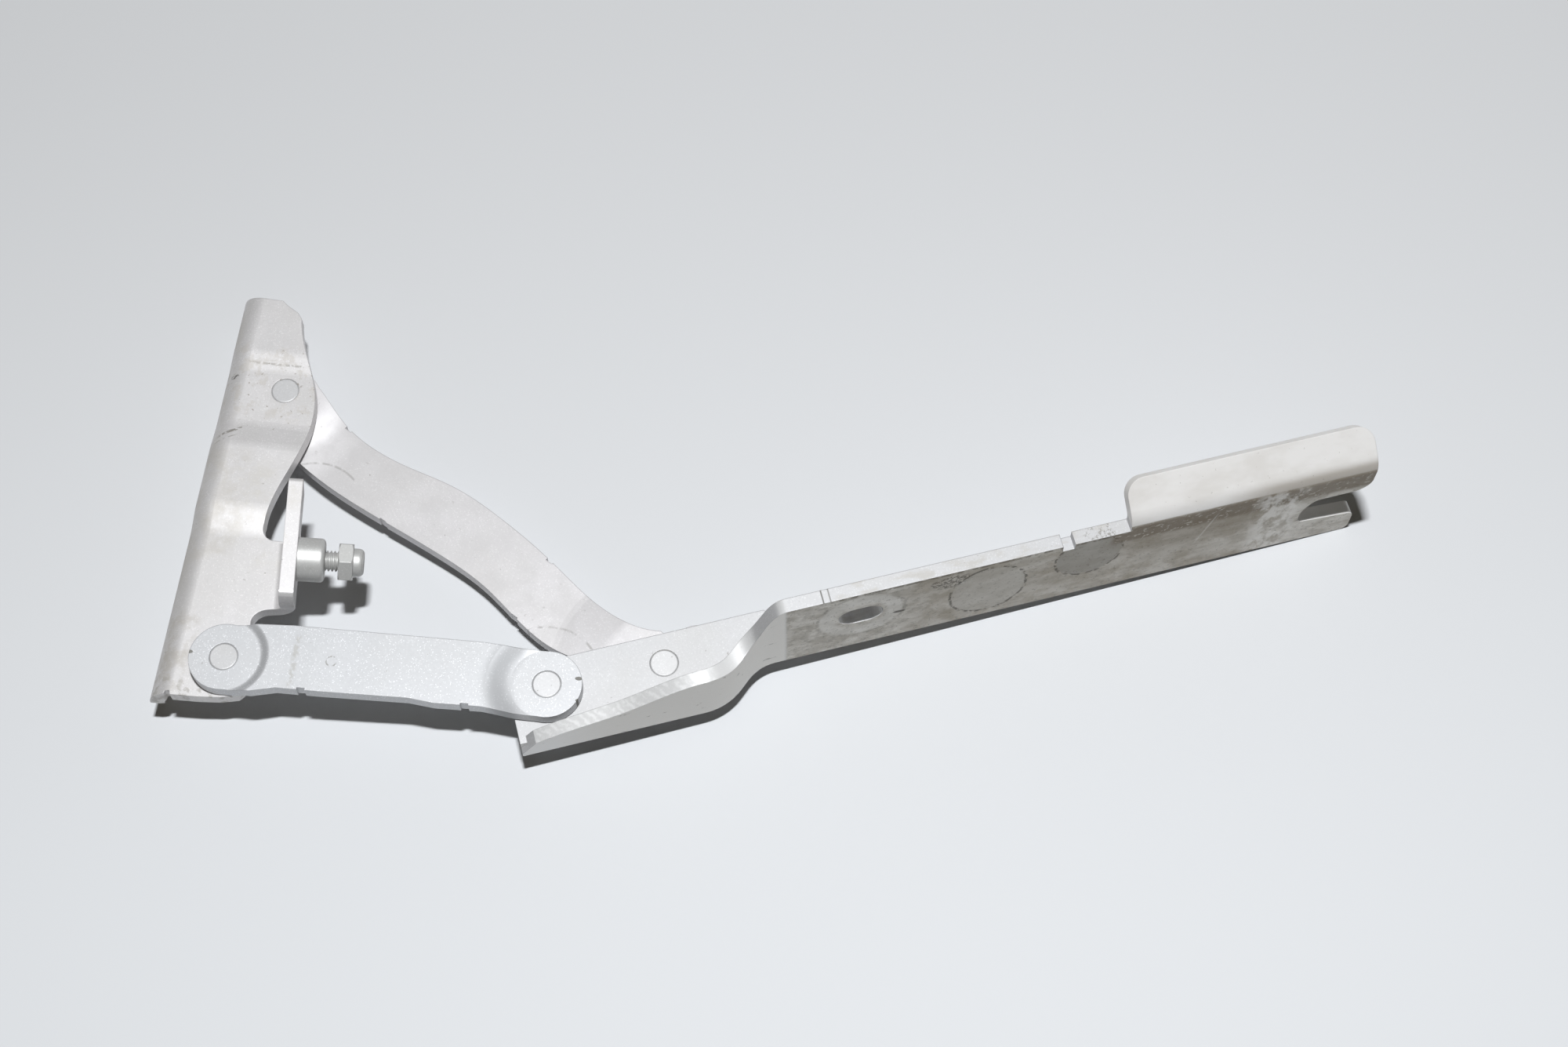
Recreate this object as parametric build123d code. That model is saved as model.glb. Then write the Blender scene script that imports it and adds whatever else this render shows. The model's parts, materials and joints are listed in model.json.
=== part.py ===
from build123d import *
from math import atan2, cos, degrees, hypot, radians, sin, tan
import os

# Four-bar bonnet hinge lying on its side, all sizes in millimetres
# X runs along the bonnet arm and Z along the four pivots
# The origin is on the body bracket's mounting face, midway between its two bolt holes

# Sheet thickness and plate levels
sheet = 4.0
web_level = 9.0
lower_seat_drop = 0.6
hump_rise = 1.0
tip_rise = 0.6
link_body_drop = 0.9
link_body_rise = 1.4

# Linkage
bracket_turn = -21.1
lower_pivot_out = 20.4
upper_pivot_out = 19.2
pivot_pitch = 85.8
lower_link_length = 89.4
lower_link_angle = -19.8
arm_pivot_pitch = 32.7

# Body bracket
flange_depth = 14.5
roll_radius = 7.0
bracket_up = 115.2
bracket_down = 11.4
body_hole_radius = 3.5
body_hole_pitch = 80.0
body_hole_first = 12.0
flange_trim = 9.0
hump_start = 67.0
hump_end = 46.8
seat_start = 41.5
tip_start = 95.5
bracket_joggle_radius = 15.0
waist_out = 22.0
pivot_land_out = 9.0

# Stop tab on the bracket, leaning outward from its root
tab_turn = 7.0
tab_lean = 8.8
tab_face_out = 35.8
tab_foot = 14.6
tab_length = 36.0
tab_root = 23.6
tab_height = 21.4
tab_free_height = 6.2
tab_bend_radius = 2.5
tab_heel = 3.4
tab_heel_height = 15.0

# Stop boss, screw and nut
boss_radius = 6.1
boss_length = 7.5
boss_rim = 1.3
boss_along = 13.8
boss_height = 14.9
spigot_radius = 4.6
screw_radius = 2.9
screw_gap = 0.05
neck_length = 3.7
nut_across_flats = 10.0
nut_turn = 26.0
nut_hex_length = 4.0
nut_collar_radius = 3.9
nut_collar_length = 3.1
insert_length = 1.9
insert_radius = 3.4

# Bonnet arm
arm_tail = 10.6
arm_front = 15.6
arm_back = 8.7
arm_shift = 9.7
arm_bend_start = 47.0
arm_bend_run = 11.0
arm_bend_radius = 15.0
arm_web_end = 63.0
arm_web_taper = 17.0
arm_height = 32.4
arm_low_height = 20.4
arm_tail_height = 6.8
arm_length = 230.4
slot_width = 9.0
slot_down = 13.4
slot_length = 12.6
slot_place = 86.8
open_slot_depth = 17.4
open_slot_spread = 2.7
open_slot_slope = 2.3
flange_end_radius = 5.0
prong_radius = 2.4
nick_place = 144.7
nick_width = 3.4
nick_depth = 2.8

# Stiffening lip on the bonnet arm
lip_start = 162.0
lip_overhang = 1.8
lip_rise = 3.2
lip_bend_radius = 4.5
lip_length = 11.2
lip_angle = 37.0
lip_corner_radius = 5.0

# Links
lower_pad_radius = 9.7
lower_edge_back = 10.4
lower_edge_front = 8.3
upper_pad_radius = 9.4
upper_edge_back = 8.2
upper_edge_front = 13.9
pad_flat_body = 10.6
pad_flat_arm = 10.0
pad_flat_upper = 11.0
pad_flat_eye = 17.6
lower_joggle_body = 1.7
lower_joggle_arm = 6.6
upper_joggle_body = 7.0
upper_joggle_arm = 14.0
lower_joggle_radius = 1.5
upper_joggle_radius = 25.0
edge_nick_width = 2.2
edge_nick_depth = 0.6

# Pivots
rivet_face_radius = 4.0
rivet_shank_radius = 3.0
rivet_head_radius = 6.2
rivet_head_height = 1.9
bush_wall = 0.5
bush_flange = 0.4
bush_flange_radius = 6.0
washer_thickness = 0.8
washer_radius = 6.5
running_gap = 0.05
eye_travel = 10.9
eye_direction = 72.8
eye_margin = 1.45
eye_wall = 2.0

lip_end = arm_length + lip_overhang
lip_bend_level = arm_height + lip_rise
open_slot_start = arm_length - open_slot_depth
slot_level = arm_height - slot_down
prong_height = slot_level - slot_width / 2 - open_slot_spread - open_slot_slope
plate_gap = bush_flange + 2 * running_gap
bush_radius = rivet_shank_radius + running_gap + bush_wall


def turned(x, y, angle):
    """A plan point turned about the origin."""
    a = radians(angle)
    return (x * cos(a) - y * sin(a), x * sin(a) + y * cos(a))


# Places of the four pivots in plan
mount_middle = body_hole_first + body_hole_pitch / 2
body_lower = turned(lower_pivot_out, -mount_middle, bracket_turn)
body_upper = turned(upper_pivot_out, pivot_pitch - mount_middle, bracket_turn)
reach = turned(lower_link_length, 0, lower_link_angle)
arm_lower = (body_lower[0] + reach[0], body_lower[1] + reach[1])
arm_upper = (arm_lower[0] + arm_pivot_pitch, arm_lower[1])
upper_run = (arm_upper[0] - body_upper[0], arm_upper[1] - body_upper[1])
upper_link_length = hypot(*upper_run)
upper_link_angle = degrees(atan2(upper_run[1], upper_run[0]))

# Underside height of each plate at its pivots
seat_level = web_level - lower_seat_drop
lower_pad_body = seat_level + sheet + plate_gap
lower_pad_arm = web_level + sheet + plate_gap
upper_pad_level = web_level - plate_gap - sheet
flange_bottom = web_level - flange_depth


def prism(face, low, high):
    """A plan face extruded from one height to another."""
    return extrude(Pos(0, 0, low) * face, high - low)


def round_hole(x, y, radius):
    """A round cutter along Z through every plate."""
    return Pos(x, y, web_level) * Cylinder(radius, 12 * sheet)


# Body bracket, drawn with x from its mounting face and y from its lower pivot
def joggled_block(lift, low, x_start, x_end):
    """Everything below one skin of the web: tip, upper seat, hump and lower seat."""
    top = web_level + lift
    skin = FilletPolyline(
        (-bracket_down - 5, top - lower_seat_drop),
        (seat_start - 1.5, top - lower_seat_drop),
        (hump_end, top + hump_rise),
        (hump_start, top + hump_rise),
        (hump_start + 7, top),
        (tip_start - 4, top),
        (tip_start + 2, top + tip_rise),
        (bracket_up + 5, top + tip_rise),
        radius=bracket_joggle_radius,
    )
    first = skin @ 0
    last = skin @ 1
    under = Polyline((first.X, first.Y), (first.X, low), (last.X, low), (last.X, last.Y))
    side = Plane(origin=(x_start, 0, 0), x_dir=(0, 1, 0), z_dir=(1, 0, 0))
    return extrude(side * make_face(Curve() + skin + under), x_end - x_start)


def rolled(block, radius):
    """Rounds the long edge where the web's skin turns down into the flange."""
    face = block.faces().sort_by(Axis.X)[0]
    return fillet([e for e in face.edges() if e.center().Z > seat_level - 1], radius)


def bracket_plan():
    """The web's outline: straight rolled edge, cut tip, hollow side, tab root and rounded seat."""
    u = upper_pivot_out
    w = lower_pivot_out
    top = bracket_up
    low = -bracket_down
    tip = Polyline(
        (-1, low),
        (-1, top + 0.6),
        (3.0, top + 0.4),
        (12.6, top),
        (14.3, top - 1.4),
        (17.9, top - 3.6),
        (19.3, top - 5.4),
    )
    side = Spline(
        (19.3, top - 5.4),
        (u + 3.7, top - 16.7),
        (u + 8.9, pivot_pitch - 0.5),
        (u + 8.7, pivot_pitch - 17.7),
        (24.4, 56.1),
        (waist_out, 42.8),
    )
    notch = ThreePointArc((waist_out, 42.8), (22.9, 39.4), (26.0, 38.2))
    flat_end = tab_face_out - sheet - tab_bend_radius
    root = Polyline((26.0, 38.2), (flat_end, 38.2), (flat_end, tab_foot + 2.6))
    below = Spline(
        (flat_end, tab_foot + 2.6),
        (26.2, 16.2),
        (24.6, 14.2),
        (24.9, 10.8),
        tangents=[(-1, -0.15), (0.4, -1)],
    )
    land = ThreePointArc((24.9, 10.8), (w + pivot_land_out, 1.0), (w + 4.8, -9.2))
    foot = Polyline(
        (w + 4.8, -9.2),
        (w, -10.3),
        (w - 6.1, -10.8),
        (6.8, -11.0),
        (6.4, -9.8),
        (5.2, -10.0),
        (4.9, -10.9),
        (2.5, low),
        (-1, low),
    )
    return make_face(Curve() + tip + side + notch + root + below + land + foot)


def stop_tab():
    """The leaning ear that turns up from the web, its far end free over the notch and its heel cut back."""
    lean = radians(tab_lean)
    inset = sheet / 2 / cos(lean)
    section = FilletPolyline(
        (-3 * sheet, sheet / 2),
        (sheet / 2 * tan(lean) - inset, sheet / 2),
        (tab_height * tan(lean) - inset, tab_height),
        radius=tab_bend_radius + sheet / 2,
    )
    end_view = Plane(origin=(0, 0, 0), x_dir=(1, 0, 0), z_dir=(0, -1, 0))
    bar = extrude(end_view * trace(section, line_width=sheet), -tab_length)
    free_length = tab_length - tab_root
    free = Pos(0, tab_root + free_length, 0) * Box(8 * sheet, 2 * free_length, 2 * (tab_free_height + sheet))
    heel = make_face(Polyline((-1, -1), (tab_heel, -1), (tab_heel, sheet), (0, tab_heel_height), (-1, -1)))
    side_view = Plane(origin=(-4 * sheet, 0, 0), x_dir=(0, 1, 0), z_dir=(1, 0, 0))
    ear = bar - free - extrude(side_view * heel, 8 * sheet)
    corners = [e for e in ear.edges() if abs(e.length - sheet) < 0.01 and e.center().Z > tab_height - 1]
    ear = fillet(corners, 1.5)
    return Pos(tab_face_out, tab_foot, seat_level) * Rot(0, 0, tab_turn) * ear


def stop_frame():
    """Axis of the stop: its Z leaves the tab's outer face."""
    return (Pos(tab_face_out, tab_foot, seat_level) * Rot(0, 0, tab_turn)
            * Rot(0, tab_lean, 0) * Pos(0, boss_along, boss_height) * Rot(0, 90, 0))


def body_bracket():
    outer = rolled(joggled_block(sheet, flange_bottom, 0, 60), roll_radius)
    inner = rolled(joggled_block(0, flange_bottom - 5, sheet, 70), roll_radius - sheet)
    blank = (outer - inner) & prism(bracket_plan(), flange_bottom - 2, web_level + 4 * sheet)
    depth = 2 * (flange_depth + sheet - roll_radius - lower_seat_drop)
    blank -= Pos(0, -bracket_down, flange_bottom) * Box(4 * sheet, 2 * flange_trim, depth)
    solid = blank + stop_tab()
    solid -= round_hole(lower_pivot_out, 0, bush_radius)
    solid -= round_hole(upper_pivot_out, pivot_pitch, rivet_face_radius)
    for place in (body_hole_first, body_hole_first + body_hole_pitch):
        solid -= Pos(0, place, 0) * Rot(0, 90, 0) * Cylinder(body_hole_radius, 4 * sheet)
    solid -= stop_frame() * Cylinder(spigot_radius, 3 * sheet)
    return solid


def stop_boss():
    """Turned boss with a rounded rim, a spigot through the tab and a bore for the screw."""
    body = extrude(Circle(boss_radius), boss_length)
    body = fillet(body.edges().filter_by(GeomType.CIRCLE).sort_by(Axis.Z)[-1], boss_rim)
    body += extrude(Circle(spigot_radius), -sheet)
    return body - Cylinder(screw_radius + screw_gap, 4 * boss_length)


def stop_screw():
    """Threaded stud from the back of the tab almost to the end of the nut."""
    end = boss_length + neck_length + nut_hex_length + nut_collar_length - 0.8
    stud = Pos(0, 0, -sheet) * extrude(Circle(screw_radius), sheet + end)
    return chamfer(stud.edges().filter_by(GeomType.CIRCLE), 0.5)


def insert_space():
    start = nut_hex_length + nut_collar_length - 0.5 - insert_length
    return extrude(Pos(0, 0, start) * Circle(insert_radius), insert_length)


def stop_lock_nut():
    """Hexagon with turned corners and a collar rolled in over the insert ring."""
    corner = nut_across_flats / 2 / cos(radians(30))
    crown = 0.7
    profile = make_face(Polyline(
        (0, 0),
        (corner - crown, 0),
        (corner, crown * 0.6),
        (corner, nut_hex_length - crown * 0.6),
        (corner - crown, nut_hex_length),
        (0, nut_hex_length),
        (0, 0),
    ))
    outline = Rot(0, 0, nut_turn) * RegularPolygon(corner, 6)
    hexagon = revolve(Plane.XZ * profile, Axis.Z) & extrude(outline, nut_hex_length)
    collar = extrude(Pos(0, 0, nut_hex_length) * Circle(nut_collar_radius), nut_collar_length)
    collar = fillet(collar.edges().filter_by(GeomType.CIRCLE).sort_by(Axis.Z)[-1], 1.7)
    nut = hexagon + collar - Cylinder(screw_radius + screw_gap, 6 * nut_hex_length)
    return nut - insert_space()


def stop_nut_insert():
    """The ring inside the collar that grips the thread."""
    return insert_space() - Cylinder(screw_radius + screw_gap, 6 * nut_hex_length)


# Bonnet arm, drawn about its lower pivot
def arm_line(inset):
    """Plan line of the flange at a distance behind its front face: an S-bend between two straights."""
    y = -arm_front + inset
    lean = atan2(arm_shift, arm_bend_run)
    back = inset * (1 - cos(lean)) / sin(lean)
    return FilletPolyline(
        (-arm_tail - 5, y),
        (arm_bend_start - back, y),
        (arm_bend_start + arm_bend_run - back, y + arm_shift),
        (lip_end + 5, y + arm_shift),
        radius=arm_bend_radius,
    )


def front_view(face):
    """Extrudes a face drawn in the front view through the whole arm."""
    plane = Plane(origin=(0, 3 * arm_front, 0), x_dir=(1, 0, 0), z_dir=(0, -1, 0))
    return extrude(plane * face, 6 * arm_front)


def open_slot():
    """The slot at the free end: level on top, curved at its inner end and wider towards its mouth."""
    start = open_slot_start
    top = slot_level + slot_width / 2 + 0.5
    low = slot_level - slot_width / 2 - open_slot_spread
    inner_end = Spline(
        (start, low + 1.4),
        (start + 0.5, slot_level),
        (start + 3.2, top - 0.7),
        (start + 7.5, top),
        tangents=[(0, 1), (1, 0)],
    )
    mouth = Polyline(
        (start + 7.5, top),
        (lip_end + 1, top),
        (lip_end + 1, low - open_slot_slope),
        (start + 1.2, low),
        (start, low + 1.4),
    )
    return make_face(Curve() + inner_end + mouth)


def arm_front_face():
    """Front view: low at the tail, rising along the web, stepping up after the S-bend, slotted."""
    step = arm_bend_start + 6.5
    rise = Spline(
        (-6.4, arm_tail_height),
        (8.0, arm_tail_height + 4.3),
        (19.0, arm_tail_height + 7.0),
        (35.0, arm_low_height - 0.4),
        (43.0, arm_low_height + 0.4),
        (step, arm_low_height - 1.2),
        (step + 2.8, arm_low_height + 0.2),
        (step + 8.0, arm_height - 4.2),
        (step + 13.3, arm_height),
        tangents=[(1, 0.45), (1, 0)],
    )
    rest = Polyline(
        (step + 13.3, arm_height),
        (lip_end, arm_height),
        (lip_end, slot_level),
        (arm_length, slot_level),
        (arm_length, 0),
        (-arm_tail, 0),
        (-arm_tail, 1.5),
        (-6.4, arm_tail_height),
    )
    face = make_face(Curve() + rise + rest)
    face -= Pos(slot_place, slot_level) * SlotOverall(slot_length, slot_width)
    face -= open_slot()
    face -= Pos(nick_place, arm_height) * Rectangle(nick_width, 2 * nick_depth)
    far = [v for v in face.vertices() if v.X > arm_length - 1 and v.Y < arm_height - 1]
    face = fillet([v for v in far if v.Y > slot_level], flange_end_radius)
    prong_corners = [v for v in face.vertices() if v.X > arm_length - 1 and v.Y < slot_level]
    return fillet(prong_corners, min(prong_radius, 0.45 * prong_height))


def arm_web_plan():
    """Plan of the web with its front edge inside the flange."""
    line = arm_line(sheet / 2)
    first = line @ 0
    last = line @ 1
    inner = -arm_front + arm_shift + sheet
    corner = ThreePointArc((-arm_tail, -2.0), (-arm_tail + 2.9, arm_back - 3.2), (-1.0, arm_back))
    edge = Polyline(
        (-1.0, arm_back),
        (arm_web_end, arm_back),
        (arm_web_end + arm_web_taper, inner),
        (last.X, inner),
        (last.X, last.Y),
    )
    tail = Polyline((first.X, first.Y), (-arm_tail, first.Y), (-arm_tail, -2.0))
    return make_face(Curve() + line + corner + edge + tail)


def arm_lip():
    """The strip along the bonnet end that leans back from the flange's top edge."""
    y = -arm_front + arm_shift + sheet / 2
    a = radians(lip_angle)
    section = FilletPolyline(
        (y, arm_height - sheet),
        (y, lip_bend_level),
        (y + lip_length * cos(a), lip_bend_level + lip_length * sin(a)),
        radius=lip_bend_radius,
    )
    side = Plane(origin=(lip_start, 0, 0), x_dir=(0, 1, 0), z_dir=(1, 0, 0))
    bar = extrude(side * trace(section, line_width=sheet), lip_end - lip_start)
    ends = [e for e in bar.edges() if e.length < sheet + 0.1 and e.center().Z > lip_bend_level + 2]
    return fillet(ends, lip_corner_radius)


def bonnet_arm():
    wall = trace(arm_line(sheet / 2), line_width=sheet)
    flange = prism(wall, 0, arm_height + 5) & front_view(arm_front_face())
    web_length = arm_tail + arm_web_end + arm_web_taper
    kept = Pos(-arm_tail, -2 * arm_front) * Rectangle(web_length, 4 * arm_front, align=Align.MIN)
    web = prism(arm_web_plan() & kept, 0, sheet)
    arm = flange + web + arm_lip()
    arm -= round_hole(0, 0, bush_radius)
    arm -= round_hole(arm_pivot_pitch, 0, rivet_face_radius)
    return arm


# Links, drawn with x from the body pivot to the arm pivot
def joggled_pad(flat, run, radius, level, body_level, size):
    """A round pad with a shallow dished step down or up to the body of the link."""
    def skin(lift):
        return FilletPolyline(
            (0, level + lift),
            (flat, level + lift),
            (flat + run, body_level + lift),
            (size, body_level + lift),
            radius=radius,
        )
    axis_side = Line((0, level), (0, level + sheet))
    rim = Line((size, body_level), (size, body_level + sheet))
    return revolve(Plane.XZ * make_face(Curve() + skin(0) + skin(sheet) + axis_side + rim), Axis.Z)


def joggled_link(length, face, first_pad, second_pad, body_level):
    """Two dished pads joined at mid length and cut to the link's outline."""
    size = length / 2 + 6
    middle = Pos(length / 2, 0, body_level)
    near_half = middle * Box(2 * size, 3 * size, 12 * sheet, align=(Align.MAX, Align.CENTER, Align.CENTER))
    far_half = middle * Box(2 * size, 3 * size, 12 * sheet, align=(Align.MIN, Align.CENTER, Align.CENTER))
    near = joggled_pad(*first_pad, body_level, size) & near_half
    far = Pos(length, 0, 0) * joggled_pad(*second_pad, body_level, size) & far_half
    return (near + far) & prism(face, body_level - 3 * sheet, body_level + 4 * sheet)


def edge_nicks(places):
    """Small steps that the blanking die left on a link's edges, as plan rectangles."""
    return [Pos(x, y) * Rectangle(edge_nick_width, 2 * edge_nick_depth) for x, y in places]


def lower_link_plan():
    """Nearly straight strap with round ends, a little wider on its back edge."""
    n = lower_link_length
    r = lower_pad_radius
    back = lower_edge_back
    front = lower_edge_front
    body = Polyline(
        (0, r - 0.3),
        (8, r + 0.2),
        (18, back),
        (n - 19, back),
        (n - 8, r),
        (n, r - 0.1),
        (n, -r + 0.1),
        (n - 8, -r + 0.2),
        (n - 17, -front - 0.2),
        (n - 30, -front - 0.4),
        (n - 37, -front + 0.4),
        (28, -front),
        (16, -front),
        (9, -r - 0.2),
        (0, -r + 0.1),
        (0, r - 0.3),
    )
    plan = make_face(body) + Circle(r) + Pos(n, 0) * Circle(r)
    return plan - edge_nicks([(23.0, -front), (n - 21.4, -front - 0.3)])


def lower_link():
    link = joggled_link(
        lower_link_length,
        lower_link_plan(),
        (pad_flat_body, lower_joggle_body, lower_joggle_radius, lower_pad_body),
        (pad_flat_arm, lower_joggle_arm, lower_joggle_radius, lower_pad_arm),
        lower_pad_body + link_body_rise,
    )
    for x in (0, lower_link_length):
        link -= round_hole(x, 0, rivet_face_radius)
    return link


def eye_face(radius):
    """A rounded slot from the arm pivot along the eye's direction."""
    end = turned(eye_travel, 0, eye_direction)
    slot = SlotCenterToCenter(eye_travel, 2 * radius)
    return Pos(upper_link_length + end[0] / 2, end[1] / 2) * Rot(0, 0, eye_direction) * slot


def upper_link_plan():
    """Broad bowed strap, off-centre towards its front edge, with the eye's pad at the arm end."""
    n = upper_link_length
    r = upper_pad_radius
    back = upper_edge_back
    front = upper_edge_front
    eye = eye_wall + bush_radius + eye_margin
    top = Spline(
        (0, r - 0.1),
        (5.4, 8.0),
        (20.6, 3.6),
        (43.7, back - 3.4),
        (56.0, back - 0.7),
        (75.0, back),
        (94.0, back - 1.6),
        (117.5, back - 4.2),
        (126.0, back - 3.0),
        (n - 8, r - 1.0),
    )
    end = Polyline((n - 8, r - 1.0), (n, eye), (n, -eye), (n - 8, -11.5), (n - 24, -front + 0.9))
    bottom = Spline(
        (n - 24, -front + 0.9),
        (104.0, -front),
        (84.7, -front + 2.9),
        (69.3, -front + 2.9),
        (45.9, -front + 0.8),
        (20.0, -front),
        (9.0, -front + 1.6),
    )
    start = Polyline((9.0, -front + 1.6), (0, -r + 0.1), (0, r - 0.1))
    plan = make_face(Curve() + top + end + bottom + start) + Circle(r) + eye_face(eye)
    return plan - edge_nicks([(20.6, 3.6), (94.0, back - 1.6), (48.0, 0.7 - front), (97.0, 0.6 - front)])


def upper_link():
    link = joggled_link(
        upper_link_length,
        upper_link_plan(),
        (pad_flat_upper, upper_joggle_body, upper_joggle_radius, upper_pad_level),
        (pad_flat_eye, upper_joggle_arm, upper_joggle_radius, upper_pad_level),
        upper_pad_level - link_body_drop,
    )
    link -= round_hole(0, 0, bush_radius)
    return link - prism(eye_face(bush_radius + eye_margin), upper_pad_level - 5, upper_pad_level + 2 * sheet)


# Pivot rivets with their bushes and washers, drawn from the top face of the upper plate down
lower_plate_top = -sheet - plate_gap
washer_top = lower_plate_top - sheet - running_gap
head_top = washer_top - washer_thickness


def pivot_rivet():
    """Flush upper face with a shallow groove round it, stepped shank and a round set head below."""
    side = Polyline(
        (0, 0),
        (rivet_face_radius - 0.35, 0),
        (rivet_face_radius, -0.25),
        (rivet_face_radius, -sheet),
        (rivet_shank_radius, -sheet),
        (rivet_shank_radius, head_top),
        (rivet_head_radius, head_top),
        (rivet_head_radius, head_top - 0.6),
    )
    head_end = head_top - rivet_head_height
    rim = rivet_head_height - 0.6
    dome = ThreePointArc(
        (rivet_head_radius, head_top - 0.6),
        (rivet_head_radius - 0.293 * rim, head_end + 0.293 * rim),
        (rivet_head_radius - rim, head_end),
    )
    axis_side = Polyline((rivet_head_radius - rim, head_end), (0, head_end), (0, 0))
    return revolve(Plane.XZ * make_face(Curve() + side + dome + axis_side), Axis.Z)


def bush(flange_radius, flange_lift):
    """Thin bush through the lower plate with its flange between the plates."""
    barrel = extrude(Pos(0, 0, lower_plate_top) * Circle(bush_radius), -sheet)
    barrel += extrude(Pos(0, 0, lower_plate_top) * Circle(bush_radius), flange_lift)
    flange = extrude(Pos(0, 0, lower_plate_top + flange_lift) * Circle(flange_radius), bush_flange)
    return barrel + flange - Cylinder(rivet_shank_radius + running_gap, 8 * sheet)


def pivot_washer():
    """Flat thrust washer between the lower plate and the set head."""
    disc = extrude(Pos(0, 0, washer_top) * Circle(washer_radius), -washer_thickness)
    return disc - Cylinder(rivet_shank_radius + running_gap, 8 * sheet)


# Placing in the shared frame
bracket_place = Rot(0, 0, bracket_turn) * Pos(0, -mount_middle, 0)
stop_place = bracket_place * stop_frame()
nut_place = stop_place * Pos(0, 0, boss_length + neck_length)
arm_place = Pos(arm_lower[0], arm_lower[1], web_level)
lower_link_place = Pos(body_lower[0], body_lower[1], 0) * Rot(0, 0, lower_link_angle)
upper_link_place = Pos(body_upper[0], body_upper[1], 0) * Rot(0, 0, upper_link_angle)

parts = {
    "body_bracket": bracket_place * body_bracket(),
    "stop_boss": stop_place * stop_boss(),
    "stop_screw": stop_place * stop_screw(),
    "stop_lock_nut": nut_place * stop_lock_nut(),
    "stop_nut_insert": nut_place * stop_nut_insert(),
    "bonnet_arm": arm_place * bonnet_arm(),
    "lower_link": lower_link_place * lower_link(),
    "upper_link": upper_link_place * upper_link(),
}

# Place of each pivot with the top face of its upper plate and its bush
plain_bush = bush(bush_flange_radius, 0.001)
eye_bush = bush(washer_radius, running_gap)
pivots = {
    "upper_body": (body_upper, web_level + sheet, plain_bush),
    "lower_body": (body_lower, lower_pad_body + sheet, plain_bush),
    "upper_arm": (arm_upper, web_level + sheet, eye_bush),
    "lower_arm": (arm_lower, lower_pad_arm + sheet, plain_bush),
}

for name, (place, level, pivot_bush) in pivots.items():
    at = Pos(place[0], place[1], level)
    parts[name + "_rivet"] = at * pivot_rivet()
    parts[name + "_bush"] = at * pivot_bush
    parts[name + "_washer"] = at * pivot_washer()

os.makedirs("parts", exist_ok=True)
for name, solid in parts.items():
    export_step(solid, "parts/" + name + ".step")
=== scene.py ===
# %% [markdown]
# # A pressed-steel bonnet hinge in silver paint
# A bonnet hinge carries the lid over a car's engine. A bracket is bolted to the body and an arm to the lid,
# and two links between them let the lid rise and swing as it opens.
# Its pieces are cut and bent from sheet steel 4 mm thick, riveted together and painted silver.
# Here the hinge lies on a pale table and is seen from above.
# The solid pieces come ready made in one shared frame. This lesson dresses them: it gives each piece
# its paint and wear or its bare metal, adds the screw's thread, and builds the table, light and camera.

import json
import math

import bpy
import numpy as np
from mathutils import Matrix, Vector


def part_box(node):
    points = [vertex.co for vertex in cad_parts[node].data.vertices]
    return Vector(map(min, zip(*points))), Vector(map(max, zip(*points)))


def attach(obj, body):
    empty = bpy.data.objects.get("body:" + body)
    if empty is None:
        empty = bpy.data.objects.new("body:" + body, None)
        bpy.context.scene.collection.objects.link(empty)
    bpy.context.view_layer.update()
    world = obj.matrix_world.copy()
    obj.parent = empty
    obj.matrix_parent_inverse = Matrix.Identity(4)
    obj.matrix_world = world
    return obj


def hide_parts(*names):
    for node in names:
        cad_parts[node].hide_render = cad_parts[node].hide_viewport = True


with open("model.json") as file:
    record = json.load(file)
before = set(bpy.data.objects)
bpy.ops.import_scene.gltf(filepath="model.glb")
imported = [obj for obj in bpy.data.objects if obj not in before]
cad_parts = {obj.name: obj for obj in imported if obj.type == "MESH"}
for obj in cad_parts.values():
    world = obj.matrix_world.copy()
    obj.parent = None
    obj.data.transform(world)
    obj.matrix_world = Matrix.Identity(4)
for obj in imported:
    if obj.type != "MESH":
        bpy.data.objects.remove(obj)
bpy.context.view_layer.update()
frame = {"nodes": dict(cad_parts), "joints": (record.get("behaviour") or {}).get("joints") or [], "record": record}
print("pieces in the frame:", len(frame["nodes"]))

# %% [markdown]
# ## Where each piece starts
# Paint wears at certain places of a piece, so each painted piece gets an origin and a direction
# to measure its marks from, as on a workshop drawing.
# All marks could be measured from one corner of the scene, but then a mark on a slanting link would need
# slanting numbers. The pivots are read from the frame, so the marks stay with them.
# Blender works in metres, so a millimetre is 0.001 here.

# %% Origins of the painted pieces
MM = 0.001
ARM_PIVOT_PITCH = 32.7 * MM
ARM_WEB_LEVEL = 9.0 * MM
BRACKET_DROP = 52.0 * MM
BRACKET_ANGLE = math.radians(-21.1)

joints = {j["name"]: j for j in frame["joints"]}
body_lower = Vector(joints["lower_link_turn"]["pos_m"])
body_upper = Vector(joints["upper_link_turn"]["pos_m"])
arm_lower = Vector(joints["bonnet_arm_turn"]["pos_m"])
arm_upper = arm_lower + Vector((ARM_PIVOT_PITCH, 0, 0))
lower_link = arm_lower - body_lower
upper_link = arm_upper - body_upper

arm_place = ((arm_lower.x, arm_lower.y, ARM_WEB_LEVEL), 0)
bracket_place = (
    (BRACKET_DROP * math.sin(BRACKET_ANGLE), -BRACKET_DROP * math.cos(BRACKET_ANGLE), 0),
    BRACKET_ANGLE,
)
lower_place = ((body_lower.x, body_lower.y, 0), math.atan2(lower_link.y, lower_link.x))
upper_place = ((body_upper.x, body_upper.y, 0), math.atan2(upper_link.y, upper_link.x))
print("lower link from pivot to pivot in mm:", round(lower_link.xy.length / MM, 1))
print("upper link from pivot to pivot in mm:", round(upper_link.xy.length / MM, 1))

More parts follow.
